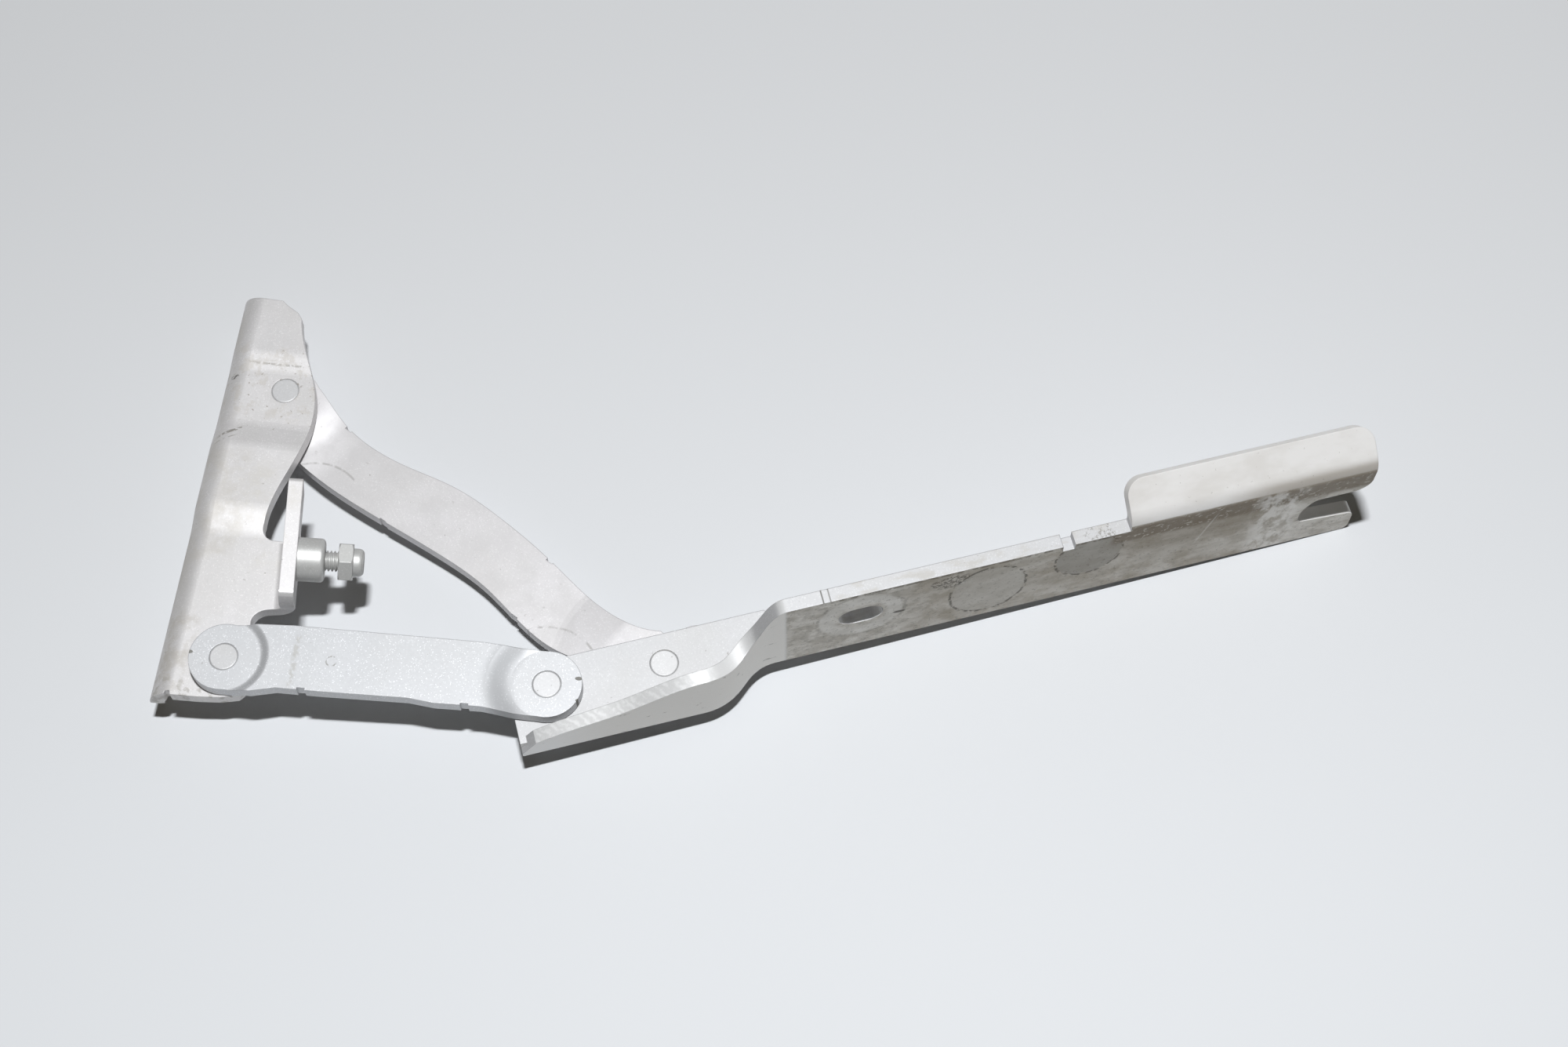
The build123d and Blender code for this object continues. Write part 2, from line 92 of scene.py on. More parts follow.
# %% [markdown]
# ## Colours
# A colour picked on a screen is an sRGB value, but Blender mixes light in linear values.
# The colours could be typed in as linear numbers, which nobody can picture.
# So they stay hex codes, and one function turns each of them to linear.

# %% Hex codes to linear light
def colour(hex_code):
    """Turns "#rrggbb" into linear red, green, blue, alpha.
    Each channel is divided by 255, then raised to 2.4 after an offset (the sRGB curve)."""
    rgb = [int(hex_code[i:i + 2], 16) / 255 for i in (1, 3, 5)]
    return [c / 12.92 if c < 0.04045 else ((c + 0.055) / 1.055) ** 2.4 for c in rgb] + [1.0]


print("half grey on screen, as linear light:", round(colour("#808080")[0], 3))

# %% [markdown]
# ## Moulded nylon
# The lock nut grips its screw with a ring of nylon, moulded by injection and left uncoloured.
# It is the simplest material here, a colour and a few settings, and so it comes first.
# It could be built in the shader editor. One function that adds any node, sets it up and wires it
# makes a material read like a formula, so every material below is made with it.

# %% Nodes and the nut's insert
def add(tree, kind, inputs=None, **settings):
    """Adds one shader node, sets its properties, then fills or wires its inputs.
    An input may be a plain value, an output socket, or a node, whose first visible output is used."""
    node = tree.nodes.new("ShaderNode" + kind)
    for key, value in settings.items():
        setattr(node, key, value)
    for key, value in (inputs or {}).items():
        if isinstance(value, bpy.types.Node):
            value = next(o for o in value.outputs if o.enabled)
        if isinstance(value, bpy.types.NodeSocket):
            tree.links.new(value, node.inputs[key])
        else:
            node.inputs[key].default_value = value
    return node


def material(name):
    """A new material with only its output, ready for nodes."""
    m = bpy.data.materials.new(name)
    m.use_nodes = True
    m.node_tree.nodes.clear()
    return m, m.node_tree, m.node_tree.nodes.new("ShaderNodeOutputMaterial")


def moulded_nylon(name, base):
    """Milky plastic: to the eye it is dull and soft, because some light passes under its surface."""
    m, tree, out = material(name)
    surface = add(tree, "BsdfPrincipled", {
        "Base Color": colour(base), "Roughness": 0.45, "IOR": 1.53,
        "Subsurface Weight": 0.2, "Subsurface Scale": 0.5 * MM,
    })
    tree.links.new(surface.outputs[0], out.inputs[0])
    return m


insert_nylon = moulded_nylon("moulded_nylon", "#d9d8cf")
print("nodes in", insert_nylon.name + ":", len(insert_nylon.node_tree.nodes))

# %% [markdown]
# ## Turned steel and rolled bronze
# A washer of turned steel and a bush rolled from bronze strip sit in each pivot, and both stay unpainted.
# Their surface could be a plain metal, but a cutting tool or a roll leaves fine marks,
# which spread the light. A noise with grains of half a millimetre, used as bump, gives that.
# Its size is real because the coordinates are turned to millimetres first.

# %% Millimetres on a piece, and the bare metals
def measured(tree, place):
    """Millimetres along, across and above a piece: (p - origin) turned back by its angle, divided by 1 mm."""
    where = add(tree, "TexCoord").outputs["Object"]
    origin, angle = place
    return add(tree, "Mapping", {
        "Vector": where, "Location": origin, "Rotation": (0, 0, angle), "Scale": (MM, MM, MM),
    }, vector_type="TEXTURE").outputs[0]


def bare_metal(name, base, roughness, mark_mm=0.5):
    """Full metal without a coat: to the eye a dull shine, broken up by the marks of its tool."""
    m, tree, out = material(name)
    mm = measured(tree, arm_place)
    marks = add(tree, "TexNoise", {"Vector": mm, "Scale": 1.0 / mark_mm, "Detail": 3.0})
    bump = add(tree, "Bump", {"Strength": 0.2, "Distance": 0.05 * MM, "Height": marks})
    surface = add(tree, "BsdfPrincipled", {
        "Base Color": colour(base), "Metallic": 1.0, "Roughness": roughness, "Normal": bump,
    })
    tree.links.new(surface.outputs[0], out.inputs[0])
    return m


washer_steel = bare_metal("turned_steel", "#8d8c88", 0.45)
bush_bronze = bare_metal("rolled_bronze", "#6b5a3c", 0.5)
for metal in (washer_steel, bush_bronze):
    print("nodes in", metal.name + ":", len(metal.node_tree.nodes))

# %% [markdown]
# ## Bands and patches
# Stains, chips and grime make this hinge look used. They could be painted on an image,
# but an image is only as sharp as its pixels and belongs to one shape.
# Here a mark is an amount from 0 to 1 at every point, worked out from millimetres.
# A band lies between two distances, patches are blotches of noise, and where marks are multiplied,
# only their overlap is left.

# %% Straight and blotched marks
NOISE_SPREAD = 0.28


def band(tree, value, low, high, soft=0.4):
    """1 between low and high, falling to 0 over the soft width at each end."""
    rise = add(tree, "MapRange", {
        0: value, 1: low - soft / 2, 2: low + soft / 2,
    }, interpolation_type="SMOOTHSTEP")
    fall = add(tree, "MapRange", {
        0: value, 1: high - soft / 2, 2: high + soft / 2, 3: 1.0, 4: 0.0,
    }, interpolation_type="SMOOTHSTEP")
    return add(tree, "Math", {0: rise, 1: fall}, operation="MULTIPLY").outputs[0]


def patches(tree, mm, size, cover, soft=0.05, stretch=(1, 1, 1)):
    """Blotches about size millimetres across: 1 where a noise lies above a threshold.
    Threshold = 1/2 + spread x (1/2 - cover), so a cover of 0.5 leaves half of the surface.
    A cover below 0 leaves only the highest peaks of the noise, which are rare specks."""
    scaled = add(tree, "VectorMath", {0: mm, 1: stretch}, operation="MULTIPLY")
    field = add(tree, "TexNoise", {"Vector": scaled, "Scale": 1.0 / size, "Detail": 4.0, "Roughness": 0.6})
    edge = 0.5 + NOISE_SPREAD * (0.5 - cover)
    return add(tree, "MapRange", {
        0: field, 1: edge - soft, 2: edge + soft,
    }, interpolation_type="SMOOTHSTEP").outputs[0]


def where_all(tree, *amounts):
    """The product of several amounts: a mark shows only where all of them hold."""
    total = amounts[0]
    for amount in amounts[1:]:
        total = add(tree, "Math", {0: total, 1: amount}, operation="MULTIPLY").outputs[0]
    return total


print("marks so far:", [mark.__name__ for mark in (band, patches)])

# %% [markdown]
# ## Ovals
# A washer leaves a ring and a knock leaves a small dent, and both are round or oval.
# An oval could be a disc mesh laid on the surface, which would stand off it.
# A distance worked out in the shader stays in the paint, and a band of that distance is a ring.

# %% Round marks
RIM_WOBBLE = 0.12


def oval(tree, first, second, centre, radii, wobble=None):
    """Distance from a centre counted in radii: sqrt(((a - a0)/ra)^2 + ((b - b0)/rb)^2), 1 on the rim.
    wobble is a field from 0 to 1 that adds up to RIM_WOBBLE, so that the rim is uneven."""
    squares = []
    for value, middle, radius in zip((first, second), centre, radii):
        shifted = add(tree, "Math", {0: value, 1: middle}, operation="SUBTRACT")
        scaled = add(tree, "Math", {0: shifted, 1: radius}, operation="DIVIDE")
        squares.append(add(tree, "Math", {0: scaled, 1: scaled}, operation="MULTIPLY"))
    total = add(tree, "Math", {0: squares[0], 1: squares[1]}, operation="ADD")
    distance = add(tree, "Math", {0: total}, operation="SQRT")
    if wobble is not None:
        distance = add(tree, "Math", {0: wobble, 1: RIM_WOBBLE, 2: distance}, operation="MULTIPLY_ADD")
    return distance.outputs[0]


def inside(tree, distance, soft=0.4, rim=1.0):
    """1 inside an oval, falling to 0 across its rim."""
    return band(tree, distance, -1.0, rim, soft)


print("marks now:", [mark.__name__ for mark in (band, patches, oval, inside)])

# %% [markdown]
# ## Sprayed silver paint
# The hinge was sprayed with silver paint, tiny flakes of aluminium in a clear binder.
# The flakes lie nearly flat, so the eye sees a broad soft sheen with a few bright points, and no mirror.
# The bright points are painted glints: a few flake cells are drawn brighter in the colour.
# A car paint could be stacked from several shaders. One shader that is half metal looks the same
# from this far, and it leaves room for the layers of wear.
# Real flakes are some hundredths of a millimetre and too fine to show, so they are drawn 0.25 mm wide.

# %% Flakes and relief
FLAKE_MM = 0.25
GRAIN_MM = 0.6
PEEL_MM = 1.3
PEEL_HEIGHT = 0.05
WAVE_MM = 14.0
WAVE_HEIGHT = 0.12 * MM
EDGE_RADIUS = 0.35 * MM


def flaked_colour(tree, mm, base, painted_glint):
    """Base colour x flake x grain. Each flake cell draws a number, and from 0.93 up it is glint times
    as bright. The grain is a noise that darkens or lightens by 3 in 100."""
    cells = add(tree, "TexVoronoi", {"Vector": mm, "Scale": 1.0 / FLAKE_MM})
    chance = add(tree, "SeparateColor", {0: cells.outputs["Color"]}).outputs[0]
    # Flake cells that draw 0.93 or more are painted brighter: painted glints of flakes that catch the lamp.
    flakes = add(tree, "MapRange", {0: chance, 1: 0.93, 2: 0.95, 3: 1.0, 4: painted_glint})
    grain = add(tree, "TexNoise", {"Vector": mm, "Scale": 1.0 / GRAIN_MM, "Detail": 3.0})
    toned = add(tree, "MapRange", {0: grain, 1: 0.3, 2: 0.7, 3: 0.965, 4: 1.03})
    bright = add(tree, "Math", {0: flakes, 1: toned}, operation="MULTIPLY")
    return add(tree, "VectorMath", {0: colour(base)[:3], 3: bright}, operation="SCALE").outputs[0]


def sheet_relief(tree, mm):
    """Height = slow waves of the pressed sheet + PEEL_HEIGHT x the paint's orange peel.
    Edges are shaded as if they were rounded."""
    waves = add(tree, "TexNoise", {"Vector": mm, "Scale": 1.0 / WAVE_MM, "Detail": 2.0})
    orange_peel = add(tree, "TexNoise", {"Vector": mm, "Scale": 1.0 / PEEL_MM, "Detail": 2.0})
    height = add(tree, "Math", {0: orange_peel, 1: PEEL_HEIGHT, 2: waves}, operation="MULTIPLY_ADD")
    edge = add(tree, "Bevel", {"Radius": EDGE_RADIUS}, samples=4)
    return add(tree, "Bump", {"Strength": 0.3, "Distance": WAVE_HEIGHT, "Height": height, "Normal": edge})


print("flakes across a millimetre:", 1.0 / FLAKE_MM)

# %% [markdown]
# ## The paint and its layers
# Dirt, stains and chips lie on the paint, and each has a colour, a dullness and less metal than the paint.
# Every layer could be a shader of its own, mixed with the last, but thirty shaders render slowly.
# Here each layer changes the colour, the roughness and the metal, and one shader reads the result.
# The rivets and the stop carry only the dirt that all pieces share.

# %% Silver paint with layers over it
def silver_paint(name, place, base, painted_glint=1.15, dirt=0.25, wear=None):
    """Sprayed paint, then layers from the lowest up. A layer is an amount, a colour, a roughness,
    a strength and a share of metal, and is mixed over the rest by amount x strength."""
    m, tree, out = material(name)
    mm = measured(tree, place)
    paint = flaked_colour(tree, mm, base, painted_glint)
    rough = add(tree, "MapRange", {0: patches(tree, mm, 30.0, 0.5, 0.15), 3: 0.45, 4: 0.52}).outputs[0]
    metal = 0.5
    stack = [
        (patches(tree, mm, 26.0, 0.45, 0.16), "#bab8b4", 0.55, dirt, 0.4),
        (patches(tree, mm, 1.5, -0.25, 0.02), "#7c766a", 0.7, 0.45, 0.0),
    ]
    if wear is not None:
        stack += wear(tree, mm)
    for amount, hex_code, roughness, strength, metallic in stack:
        share = add(tree, "Math", {0: amount, 1: strength}, operation="MULTIPLY", use_clamp=True)
        paint = add(tree, "Mix", {0: share, 6: paint, 7: colour(hex_code)}, data_type="RGBA").outputs[2]
        rough = add(tree, "Mix", {0: share, 2: rough, 3: roughness}).outputs[0]
        metal = add(tree, "Mix", {0: share, 2: metal, 3: metallic}).outputs[0]
    surface = add(tree, "BsdfPrincipled", {
        "Base Color": paint, "Metallic": metal, "Roughness": rough, "Normal": sheet_relief(tree, mm),
    })
    tree.links.new(surface.outputs[0], out.inputs[0])
    print(name + ":", len(stack), "layers,", len(tree.nodes), "nodes")
    return m


rivet_paint = silver_paint("sprayed_silver_paint_on_rivets", arm_place, "#cccccd")
stop_paint = silver_paint("sprayed_silver_paint_on_stop", arm_place, "#cbcbc9")

# %% [markdown]
# ## The arm's outer face
# The arm's flange stands on edge, and its outer face is stained where the lid was bolted to it.
# Up to 66 mm from the pivot the paint is pale, and at its front end, where the flange curves upwards,
# painted light makes it white. From there on it is greyer and streaked,
# and between 101 and 206 mm it is darkest, with a touch of brown. All these tones are lighter than the paint
# on the web: partly the real paler paint of that face, partly painted light on an upright face that the lamp above
# hardly reaches.
# One noise could blotch the whole arm, but the stain has a clear front end, so bands limit each tone.
# Distances run along the arm from its first pivot and upwards from its web.

# %% Tone and stains of the flange
ARM_FRONT = -40.0
ARM_TAIL = 400.0
STAINED_FROM = 66.0


def facing(tree, axis, low, high, soft):
    """1 where the surface's normal points so: its part along an axis lies between low and high."""
    normal = add(tree, "SeparateXYZ", {0: add(tree, "TexCoord").outputs["Normal"]}).outputs
    return band(tree, normal[axis], low, high, soft)


def outer_face(tree, along, start=ARM_FRONT, end=ARM_TAIL, soft=1.0):
    """The flange's outer face, which looks towards -Y, between two distances along the arm."""
    return where_all(tree, facing(tree, "Y", -2.0, -0.6, 0.3), band(tree, along, start, end, soft))


def flange_tone(tree, mm):
    """Pale front, painted lightest at its end as painted light where the flange curves upwards, then the stained
    part and its darker stretch.
    """
    along = add(tree, "SeparateXYZ", {0: mm}).outputs["X"]
    front = outer_face(tree, along, ARM_FRONT, STAINED_FROM, 2.0)
    painted_light_at_curve = outer_face(tree, along, ARM_FRONT, 4.0, 26.0)
    specks = where_all(tree, front, patches(tree, mm, 2.6, -0.1, 0.03, (0.5, 1, 1.6)))
    stained = outer_face(tree, along, STAINED_FROM)
    streaks = where_all(tree, stained, patches(tree, mm, 5.0, 0.5, 0.10, (0.6, 1, 1.3)))
    by_slot = where_all(tree, stained, band(tree, along, 60.0, 108.0, 10.0),
                        patches(tree, mm, 2.8, 0.35, 0.07))
    washed = where_all(tree, stained, patches(tree, mm, 4.5, 0.3, 0.1, (0.7, 1, 1)))
    darker = outer_face(tree, along, 101.0, 206.0, 8.0)
    brown = where_all(tree, darker, patches(tree, mm, 9.0, 0.3, 0.1))
    # The pale front and the stained tone are lighter than the web's paint, in part as painted light on the upright
    # face, and the white layer at the front end is painted light where the flange curves upwards.
    return [
        (front, "#f3f0ea", 0.55, 0.7, 0.1),
        (painted_light_at_curve, "#ffffff", 0.5, 0.8, 0.0),
        (specks, "#77736b", 0.7, 0.6, 0.0),
        (stained, "#d4cfc5", 0.62, 0.75, 0.1),
        (streaks, "#a39c8f", 0.68, 0.50, 0.1),
        (by_slot, "#969188", 0.7, 0.35, 0.1),
        (washed, "#ebe8e2", 0.5, 0.45, 0.2),
        (darker, "#aaa294", 0.66, 0.28, 0.1),
        (brown, "#978b76", 0.7, 0.45, 0.1),
    ]


print("stained face from", STAINED_FROM, "mm on")

# %% [markdown]
# ## Marks of washers
# A washer was clamped round the closed slot and rubbed a pale ring there, with dirt along its rim.
# Two dull ovals with dark rims lie further on, where something pressed against the face.
# A smudge and a pitted spot sit between them.
# Perfect circles would look stamped, so a noise with grains of 3 mm moves their rims in and out,
# and patches break the dirty rims up.

# %% Ring, ovals, smudge and pits
CLOSED_SLOT = (86.8, 19.0)
OVALS = (
    ((122.9, 16.4), (10.85, 13.5), ("#bfbcb5", 0.6, 0.5, 0.2), ("#55514a", 0.75, 0.75, 0.0)),
    ((151.1, 22.8), (9.5, 11.0), ("#99968f", 0.6, 0.65, 0.2), ("#4d4a43", 0.75, 0.75, 0.0)),
)


def washer_marks(tree, mm):
    """A ring is a band of the oval's distance round its rim, and a dull oval is filled up to it."""
    at = add(tree, "SeparateXYZ", {0: mm}).outputs
    along, above = at["X"], at["Z"]
    face = facing(tree, "Y", -2.0, -0.6, 0.3)
    broken = patches(tree, mm, 2.2, 0.55, 0.06)
    wobble = add(tree, "TexNoise", {"Vector": mm, "Scale": 1.0 / 3.0, "Detail": 4.0}).outputs[0]
    ring = oval(tree, along, above, CLOSED_SLOT, (11.4, 11.4), wobble)
    smudge = oval(tree, along, above, (97.7, 15.5), (1.7, 0.7))
    pits = oval(tree, along, above, (112.0, 27.0), (6.0, 3.6))
    marks = [
        (where_all(tree, face, band(tree, ring, 0.72, 1.10, 0.14)), "#dedcd7", 0.5, 0.5, 0.2),
        (where_all(tree, face, band(tree, ring, 1.10, 1.20, 0.08), broken), "#8a867e", 0.7, 0.4, 0.1),
        (where_all(tree, face, inside(tree, smudge)), "#4c4943", 0.8, 0.8, 0.0),
        (where_all(tree, face, inside(tree, pits, 0.5), patches(tree, mm, 1.0, 0.45, 0.04)),
         "#524e47", 0.85, 0.7, 0.0),
    ]
    for centre, radii, fill, rim in OVALS:
        pressed = oval(tree, along, above, centre, radii, wobble)
        marks.append((where_all(tree, face, inside(tree, pressed, 0.05, 1.03)), *fill))
        marks.append((where_all(tree, face, band(tree, pressed, 1.03, 1.10, 0.04), broken), *rim))
    return marks


print("centres of the dull ovals in mm:", [pressed[0] for pressed in OVALS])

# %% [markdown]
# ## Grime on the flange
# Brown grime collects where a cloth doesn't reach: in a line just under the flange's top edge,
# and under the lip that leans over its rear end. At the open slot the paint is rubbed pale,
# and one slanting scratch crosses the face.
# Grime could be spread by how deep a corner is, but that would darken every corner alike.
# Bands put it only where it is.

# %% Grime, rub and scratch
LIP_FROM = 157.0


def flange_grime(tree, mm):
    """Bands along and above the arm set each place, and patches break it up.
    The scratch is a band of along - 0.29 x above, which makes it lean."""
    at = add(tree, "SeparateXYZ", {0: mm}).outputs
    along, above = at["X"], at["Z"]
    stained = outer_face(tree, along, STAINED_FROM)
    specks = where_all(tree, stained, patches(tree, mm, 0.9, 0.08, 0.04))
    below_edge = where_all(tree, stained, band(tree, above, 31.3, 34.0, 0.5),
                           band(tree, along, 76.0, LIP_FROM, 4.0), patches(tree, mm, 2.2, 0.55, 0.06))
    rear = where_all(tree, outer_face(tree, along, 160.0, 206.0, 14.0), band(tree, above, 17.0, 30.0, 9.0))
    under_lip = where_all(tree, outer_face(tree, along, LIP_FROM, soft=3.0),
                          band(tree, above, 26.5, 34.6, 2.4))
    crumbs = where_all(tree, under_lip, patches(tree, mm, 1.5, 0.16, 0.05, (0.7, 1, 1)))
    rubbed = where_all(tree, outer_face(tree, along, 199.0, 212.0, 6.0),
                       patches(tree, mm, 4.0, 0.5, 0.08, (1, 1, 0.6)))
    slant = add(tree, "Math", {0: above, 1: -0.29, 2: along}, operation="MULTIPLY_ADD").outputs[0]
    scratch = where_all(tree, outer_face(tree, slant, 178.0, 178.6, 0.3), band(tree, above, 15.0, 30.0, 4.0))
    return [
        (specks, "#67635b", 0.8, 0.35, 0.0),
        (below_edge, "#6a6355", 0.8, 0.7, 0.0),
        (rear, "#8c7f6b", 0.75, 0.4, 0.0),
        (under_lip, "#7a6d5b", 0.8, 0.75, 0.0),
        (crumbs, "#d6d1c7", 0.6, 0.65, 0.0),
        (rubbed, "#eceae6", 0.45, 0.65, 0.3),
        (scratch, "#d6d4cf", 0.4, 0.4, 0.5),
    ]


print("grime under the lip from", LIP_FROM, "mm on")

# %% [markdown]
# ## The lip and the slots
# The lip leans over the rear of the flange and catches the light, so it is painted pale, as painted light, with
# grey clouds, and brown grime lies along its foot. The cut walls of both slots are painted bright, as painted
# light on walls that the lamp hardly reaches.
# The walls could have a material of their own, but the piece is one solid with one slot for a material,
# so their place and the way that they face pick them out.

# %% Lip and slot walls
LIP_FOOT = 34.8


def lip_and_slots(tree, mm):
    """The lip is all that lies above its foot. A slot's wall is where the surface turns upwards
    inside an oval round the closed slot, or behind 207 mm for the open one."""
    at = add(tree, "SeparateXYZ", {0: mm}).outputs
    along, above = at["X"], at["Z"]
    lip = where_all(tree, band(tree, above, LIP_FOOT, 60.0, 0.6), band(tree, along, 158.0, ARM_TAIL, 2.0))
    clouds = where_all(tree, lip, patches(tree, mm, 12.0, 0.45, 0.12, (0.5, 1, 1)))
    foot = where_all(tree, band(tree, above, 33.8, 37.5, 2.0), band(tree, along, 196.0, ARM_TAIL, 24.0))
    specks = where_all(tree, lip, patches(tree, mm, 1.2, -0.2, 0.03))
    wall = facing(tree, "Z", 0.2, 2.0, 0.2)
    closed = where_all(tree, inside(tree, oval(tree, along, above, CLOSED_SLOT, (7.5, 4.6)), 0.1), wall)
    painted_light_in_open_slot = where_all(tree, band(tree, along, 207.0, ARM_TAIL, 1.0), band(tree, above, 6.0, 24.0, 1.0), wall)
    # The pale lip and the white walls of both slots are painted light.
    return [
        (lip, "#efedeb", 0.5, 1.0, 0.1),
        (clouds, "#cdc8c0", 0.6, 0.35, 0.1),
        (foot, "#8d806c", 0.7, 0.5, 0.1),
        (specks, "#7a7264", 0.7, 0.3, 0.0),
        (closed, "#ffffff", 0.4, 1.0, 0.0),
        (painted_light_in_open_slot, "#fbfaf7", 0.45, 0.9, 0.1),
    ]


print("lip above", LIP_FOOT, "mm")

# %% [markdown]
# ## The sheared edge
# A sheet that is sheared off keeps fine lines across its cut edge, and the paint doesn't hide them.
# On this flange they show in front, where the edge is also painted lighter, as painted light where the rounded
# edge turns from the lamp. Two deeper cuts cross the edge just before the closed slot, drawn as dark lines of
# painted shade, and further on the edge is dusty.
# The lines could be cut into the mesh, but they are a few hundredths of a millimetre deep, so a wave of
# lighter paint stands for them, a painted highlight on their ridges. It is drawn 1.6 mm from line to line, which
# is as fine as the picture shows.

# %% Edge lines, and the arm's paint
LINE_PITCH = 1.6
WAVE_LENGTH_AT_SCALE_1 = 0.314
SHADED_CUTS = ((76.05, 76.45, 0.8), (78.0, 78.4, 0.6))


def sheared_edge(tree, mm):
    """The edge is where the flange faces straight up. Lines = a wave texture, whose bands lie
    0.314 / scale apart, so that scale = 0.314 / pitch."""
    at = add(tree, "SeparateXYZ", {0: mm}).outputs
    along, above = at["X"], at["Z"]
    edge = where_all(tree, facing(tree, "Z", 0.75, 2.0, 0.2), band(tree, above, 5.4, 60.0, 1.0))
    front = where_all(tree, edge, band(tree, along, ARM_FRONT, STAINED_FROM, 2.0))
    lines = add(tree, "TexWave", {
        "Vector": mm, "Scale": WAVE_LENGTH_AT_SCALE_1 / LINE_PITCH,
        "Distortion": 5.0, "Detail": 3.0, "Detail Scale": 2.0,
    }, bands_direction="DIAGONAL").outputs[1]
    painted_highlight_ticks = where_all(tree, edge, band(tree, along, -22.0, 44.0, 2.0), lines,
                      patches(tree, mm, 2.0, 0.6, 0.1))
    dusty = where_all(tree, edge, band(tree, along, 149.0, 158.5, 1.0), patches(tree, mm, 0.8, 0.22, 0.05))
    clouds = where_all(tree, edge, band(tree, along, 80.0, LIP_FROM, 3.0),
                       patches(tree, mm, 3.0, 0.25, 0.1, (0.4, 1, 1)))
    # The lighter front of the edge is painted light, the white lines are painted highlights, and the two dark cut
    # lines are painted shade.
    return [
        (front, "#f0f0ef", 0.5, 0.5, 0.3),
        (painted_highlight_ticks, "#ffffff", 0.45, 0.5, 0.5),
    ] + [
        (where_all(tree, edge, band(tree, along, low, high, 0.2)), "#6c6a65", 0.7, strength, 0.2)
        for low, high, strength in SHADED_CUTS
    ] + [
        (dusty, "#7c776d", 0.75, 0.6, 0.0),
        (clouds, "#b3aea4", 0.6, 0.4, 0.2),
    ]


def arm_wear(tree, mm):
    """All of the arm's marks, the lowest layer first."""
    groups = (flange_tone, washer_marks, flange_grime, lip_and_slots, sheared_edge)
    return [layer for group in groups for layer in group(tree, mm)]


arm_paint = silver_paint("sprayed_silver_paint_on_arm", arm_place, "#c2c2c3", dirt=0.18, wear=arm_wear)

# %% [markdown]
# ## Wear on the bracket
# The bracket is the piece that is bolted to the body. Its web steps twice, and dirt and painted shade
# darken the creases of the steps. The rolled edge has a chip, brown specks surround the upper rivet,
# and the mounting flange and the foot are greyer with old grease.
# The dirt and shade could be placed by how much the sheet bends, but then each bend would be dark alike.
# A band that leans with the crease puts it into the right one and stays sharp at any size.

# %% Marks and paint of the bracket
def bracket_wear(tree, mm):
    """Distances run along the mounting flange and across from its face.
    The lower crease leans: it is a band of along - 0.52 x across."""
    at = add(tree, "SeparateXYZ", {0: mm}).outputs
    along, across = at["Y"], at["X"]
    broken = patches(tree, mm, 1.8, 0.5, 0.06)
    slant = add(tree, "Math", {0: across, 1: -0.52, 2: along}, operation="MULTIPLY_ADD").outputs[0]
    crease_dirt_and_shade = where_all(tree, band(tree, slant, 67.0, 67.9, 0.5), band(tree, across, 3.0, 11.5, 2.0), broken)
    beside_crease_dirt_and_shade = where_all(tree, band(tree, slant, 65.2, 65.6, 0.4), band(tree, across, 2.5, 8.0, 2.0), broken)
    step_dirt_and_shade = where_all(tree, band(tree, along, 93.6, 94.3, 0.5), band(tree, across, 6.0, 25.0, 2.0), broken)
    chip = where_all(tree, inside(tree, oval(tree, across, along, (3.4, 89.2), (1.3, 0.9)), 0.6), broken)
    by_rivet = where_all(tree, inside(tree, oval(tree, across, along, (19.2, 85.8), (16.0, 14.0))),
                         patches(tree, mm, 1.2, -0.1, 0.03))
    web = where_all(tree, band(tree, along, 30.0, 62.0, 8.0), patches(tree, mm, 7.0, 0.35, 0.1))
    flange = where_all(tree, band(tree, across, -20.0, 3.0, 5.0),
                       patches(tree, mm, 11.0, 0.45, 0.12, (1, 0.5, 1)))
    bend = where_all(tree, band(tree, along, 30.0, 66.0, 8.0), band(tree, across, 2.0, 14.0, 6.0),
                     patches(tree, mm, 5.0, 0.5, 0.12))
    above_step = where_all(tree, band(tree, along, 76.0, 100.0, 6.0), patches(tree, mm, 4.0, 0.25, 0.06))
    foot_bend = where_all(tree, band(tree, across, 1.0, 10.0, 4.0), band(tree, along, -9.0, 14.0, 8.0),
                          patches(tree, mm, 5.0, 0.45, 0.12))
    foot_end = where_all(tree, band(tree, along, -16.0, -6.0, 4.0), patches(tree, mm, 2.4, 0.3, 0.06))
    # The three dark lines in the creases and along the step are dirt and painted shade.
    return [
        (crease_dirt_and_shade, "#6d6960", 0.7, 0.8, 0.1),
        (beside_crease_dirt_and_shade, "#7a766d", 0.7, 0.6, 0.1),
        (step_dirt_and_shade, "#8d8980", 0.7, 0.5, 0.1),
        (chip, "#4a4843", 0.8, 0.85, 0.1),
        (by_rivet, "#6b5a40", 0.8, 0.6, 0.1),
        (web, "#c9c5bc", 0.55, 0.35, 0.4),
        (flange, "#b5b0a6", 0.6, 0.45, 0.3),
        (bend, "#bbb6ae", 0.6, 0.35, 0.3),
        (above_step, "#c0bbb4", 0.6, 0.5, 0.3),
        (foot_bend, "#a29a8b", 0.65, 0.4, 0.2),
        (foot_end, "#8a8578", 0.7, 0.4, 0.1),
    ]


bracket_paint = silver_paint("sprayed_silver_paint_on_bracket", bracket_place, "#dad8d8", wear=bracket_wear)

# %% [markdown]
# ## Wear on the lower link
# The lower link is a flat bar with a raised pad at each end. It has a small ring mark at a third
# of its length, a rub across it, chipped pads, and a soft band of painted shade beside the far pad, where the bar
# slopes to it.
# The chips could be cut out of the mesh, but they are under a millimetre and only their colour shows.

# %% Marks and paint of the lower link
PAD_CHIPS = ((97.9, 2.4), (98.8, -4.0), (-9.6, 0.6))


